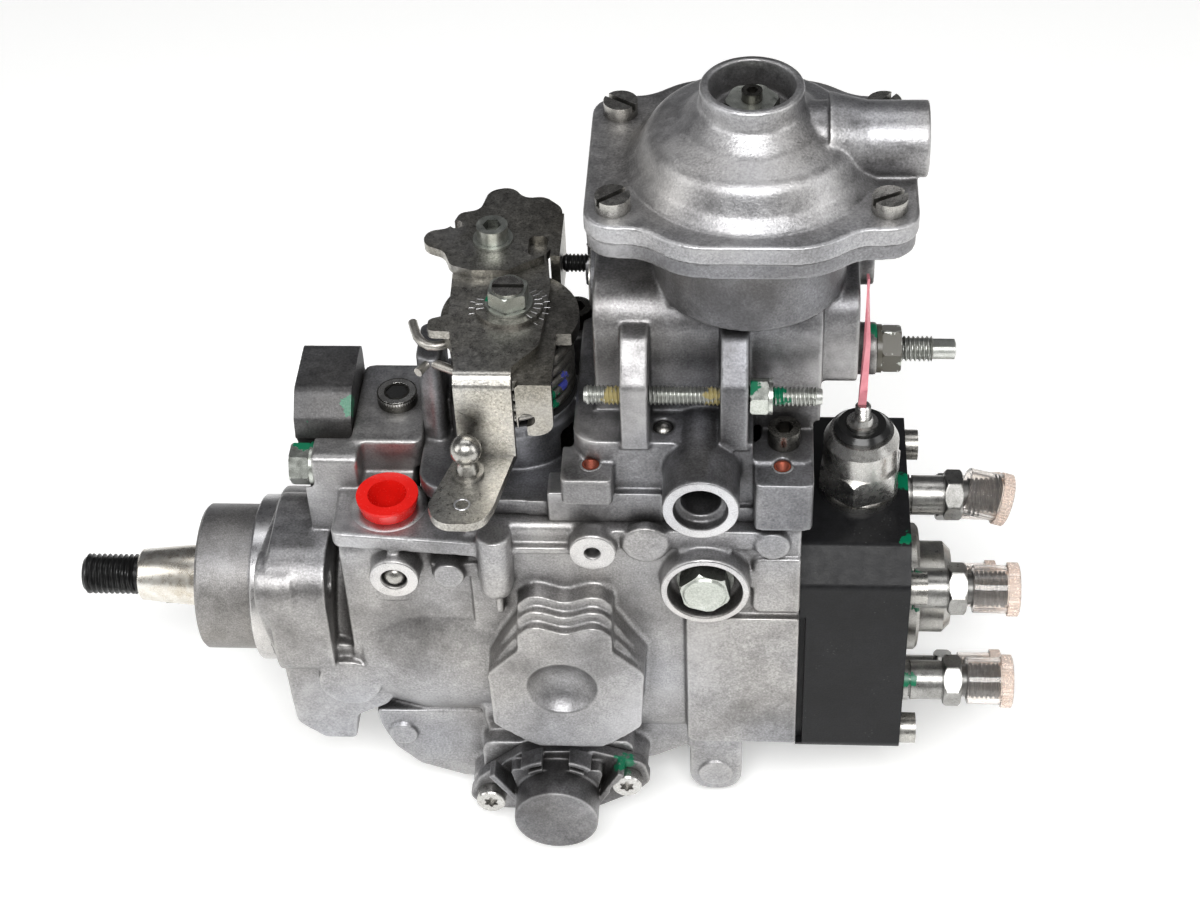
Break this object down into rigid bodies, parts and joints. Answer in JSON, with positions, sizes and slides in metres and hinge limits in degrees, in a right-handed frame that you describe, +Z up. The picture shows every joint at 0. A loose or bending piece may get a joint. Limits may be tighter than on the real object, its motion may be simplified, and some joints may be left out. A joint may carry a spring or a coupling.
{
  "type": "distributor injection pump",
  "caption": "Diesel distributor injection pump with governor cover, boost compensator, shut-off solenoid, control lever and capped outlets",
  "frame": {"origin": "On the drive axis, at the shoulder where the pilot meets the seat ring of the mounting flange", "axes": "+X along the drive axis from the drive end to the distributor head, +Z up through the governor cover, -Y towards the side with the timing cover and the hexagon plug"},
  "size_m": [0.3178, 0.122, 0.2735],
  "materials": {
    "cast": "cast",
    "black_steel": "blackened",
    "steel": "plated",
    "lever_steel": "plated",
    "black_plastic": "matt",
    "red_plastic": "smooth",
    "clear_plastic": "translucent",
    "pink_plastic": "smooth",
    "rubber": "matt"
  },
  "bodies": {
    "housing": {"pump_housing": "cast", "governor_cover": "cast", "timing_cover_near": "cast", "timing_cover_far": "cast", "boost_cover": "cast", "feed_cam_ring": "cast", "distributor_head": "black_steel", "head_bolts": "black_steel", "cover_screws": "black_steel", "idle_stop_screw": "black_steel", "advance_block": "black_steel", "press_plugs": "steel", "side_plug_bolt": "steel", "block_bolt": "steel", "head_plug": "steel", "delivery_valve_holders": "steel", "solenoid_body": "steel", "solenoid_terminal": "steel", "timing_cover_screws": "steel", "boost_cover_screws": "steel", "boost_stop_screw": "steel", "locknuts": "steel", "full_load_screw": "steel", "max_speed_screw": "steel", "shaft_bush": "steel", "governor_shaft": "steel", "plunger_springs": "steel", "timing_spring": "steel", "boost_spring": "steel", "governor_spring": "steel", "return_spring": "lever_steel", "solenoid_insulator": "black_plastic", "inlet_plug": "red_plastic", "protective_caps": "clear_plastic", "terminal_tail": "pink_plastic", "shaft_seal": "rubber", "boost_diaphragm": "rubber"},
    "shaft": {"drive_shaft": "steel", "shaft_key": "steel", "shaft_gear": "steel", "feed_rotor": "steel", "cam_disc": "steel", "plunger": "steel"},
    "spool": {"control_spool": "steel"},
    "ring": {"roller_ring": "steel", "rollers": "steel"},
    "piston": {"timing_piston": "steel"},
    "carrier": {"flyweight_carrier": "steel", "flyweights": "steel"},
    "sleeve": {"governor_sleeve": "steel"},
    "governor": {"governor_lever": "steel"},
    "lever": {"lever_shaft": "steel", "control_lever": "lever_steel", "spring_plate": "lever_steel", "stop_plate": "lever_steel", "lever_fasteners": "steel", "ball_stud": "steel"},
    "boost": {"boost_pin": "steel"},
    "shutoff": {"solenoid_plunger": "steel"},
    "valves": {"delivery_valves": "steel"}
  },
  "joints": [
    {"name": "drive", "type": "hinge", "parent": "housing", "child": "shaft", "pos_m": [0, 0, 0], "axis": [1, 0, 0], "continuous": true},
    {"name": "carrier_spin", "type": "hinge", "parent": "housing", "child": "carrier", "pos_m": [0.06, 0, 0.045], "axis": [1, 0, 0], "continuous": true},
    {"name": "sleeve_slide", "type": "slide", "parent": "carrier", "child": "sleeve", "axis": [1, 0, 0], "range_m": [0, 0.0027], "stiffness_N_per_m": 200, "springref_m": -0.004},
    {"name": "governor_swing", "type": "hinge", "parent": "housing", "child": "governor", "pos_m": [0.152, 0, 0.024], "axis": [0, 1, 0], "range_deg": [0, 8], "deforming": ["governor_spring"]},
    {"name": "spool_slide", "type": "slide", "parent": "housing", "child": "spool", "axis": [1, 0, 0], "range_m": [-0.002, 0]},
    {"name": "timing_slide", "type": "slide", "parent": "housing", "child": "piston", "axis": [0, -1, 0], "range_m": [0, 0.006], "deforming": ["timing_spring"]},
    {"name": "ring_turn", "type": "hinge", "parent": "housing", "child": "ring", "pos_m": [0.1027, 0, 0], "axis": [-1, 0, 0], "range_deg": [0, 7]},
    {"name": "lever_turn", "type": "hinge", "parent": "housing", "child": "lever", "pos_m": [0.092, 0, 0.12], "axis": [0, 0, 1], "range_deg": [0, 19], "stiffness_Nm_per_rad": 0.15, "deforming": ["return_spring"]},
    {"name": "boost_slide", "type": "slide", "parent": "housing", "child": "boost", "axis": [0, 0, 1], "range_m": [-0.006, 0], "stiffness_N_per_m": 1500, "springref_m": 0.002, "deforming": ["boost_spring", "boost_diaphragm"]},
    {"name": "shutoff_slide", "type": "slide", "parent": "housing", "child": "shutoff", "axis": [0, 0, 1], "range_m": [0, 0.0012]},
    {"name": "valve_slide", "type": "slide", "parent": "housing", "child": "valves", "axis": [1, 0, 0], "range_m": [0, 0.002]}
  ],
  "couplings": [
    {"joint": "carrier_spin", "follows": "drive", "ratio": -1.6087},
    {"joint": "governor_swing", "follows": "sleeve_slide", "rad_per_m": 51.282},
    {"joint": "spool_slide", "follows": "sleeve_slide", "ratio": -0.7282},
    {"joint": "ring_turn", "follows": "timing_slide", "rad_per_m": 20}
  ]
}
